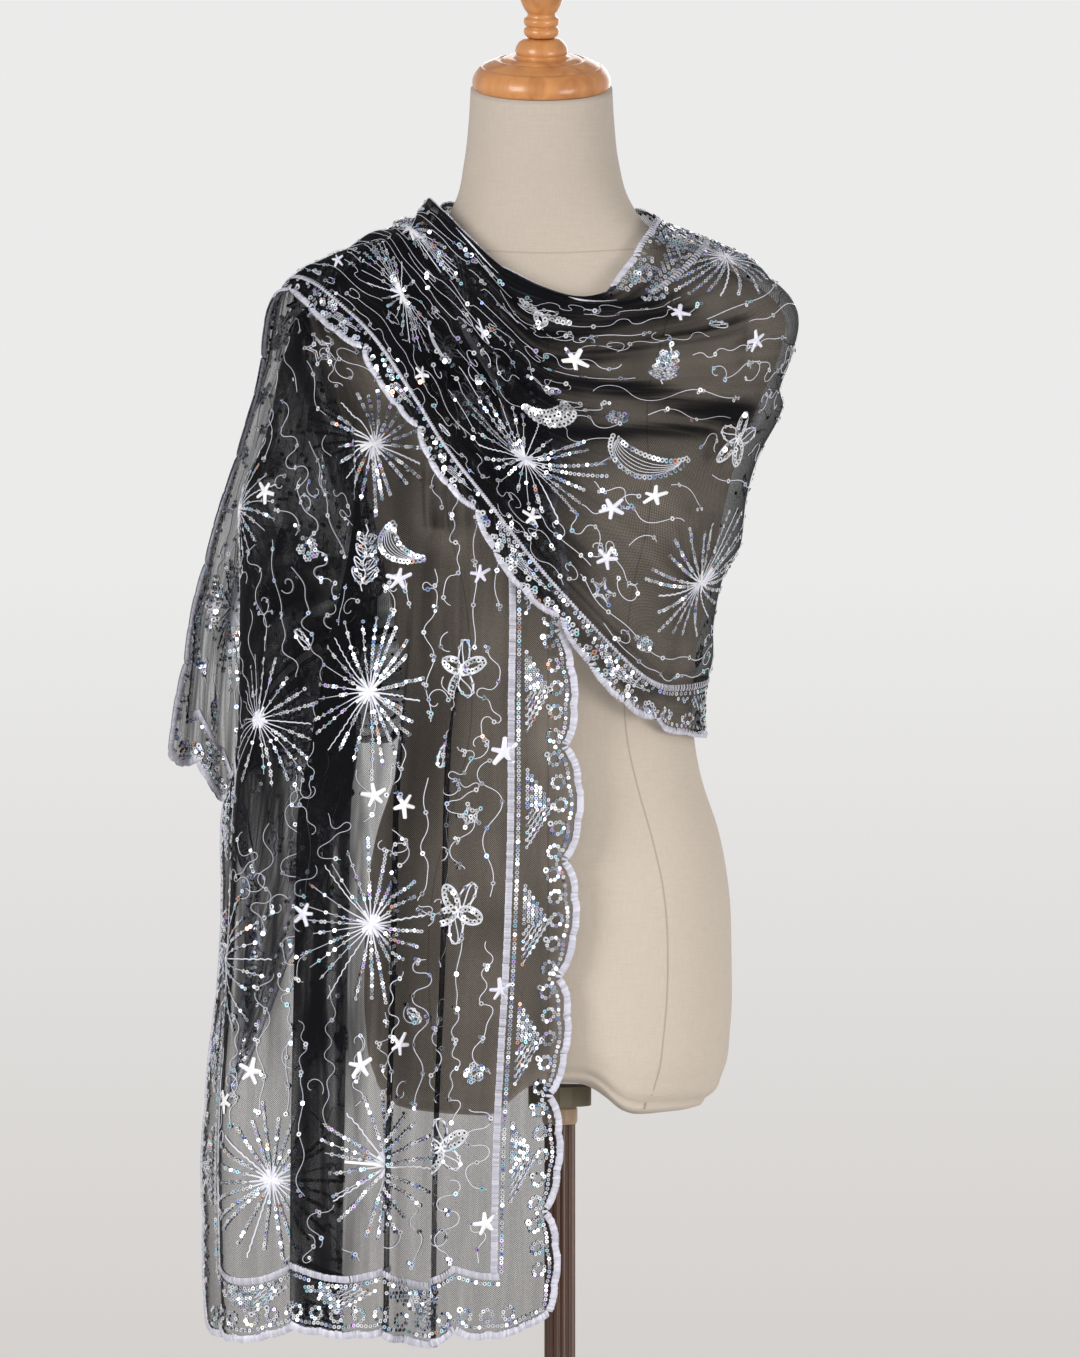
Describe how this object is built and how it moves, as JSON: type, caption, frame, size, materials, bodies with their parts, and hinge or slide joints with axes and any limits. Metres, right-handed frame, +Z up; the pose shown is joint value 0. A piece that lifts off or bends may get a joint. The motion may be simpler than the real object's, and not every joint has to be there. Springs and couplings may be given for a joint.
{
  "type": "evening stole draped on a limbless dress form with a stand",
  "caption": "Sheer embroidered evening stole worn as a wrap over a padded limbless dress form with a turned neck cap, fluted pole and round foot.",
  "frame": {"origin": "on the floor under the middle of the pole, at the centre of the foot's flat underside", "axes": "+Z up along the pole, -Y to the front of the dress form, +X to the right of the picture"},
  "size_m": [0.4842, 0.35, 1.558],
  "materials": {
    "black_net": "sheer net with sequins",
    "beige_linen": "plain weave",
    "honey_wood": "varnished",
    "dark_wood": "varnished",
    "olive_plate": "dull",
    "tan_collar": "satin"
  },
  "bodies": {
    "root": {"stole_front_panel": "black_net", "stole_back": "black_net", "stole_cross_panel": "black_net", "stole_thrown_end": "black_net", "form_torso": "beige_linen", "neck_cap": "honey_wood", "cap_finial": "honey_wood", "pole_plate": "olive_plate", "pole_collar": "tan_collar", "stand_pole": "dark_wood", "stand_base": "dark_wood"}
  },
  "joints": []
}
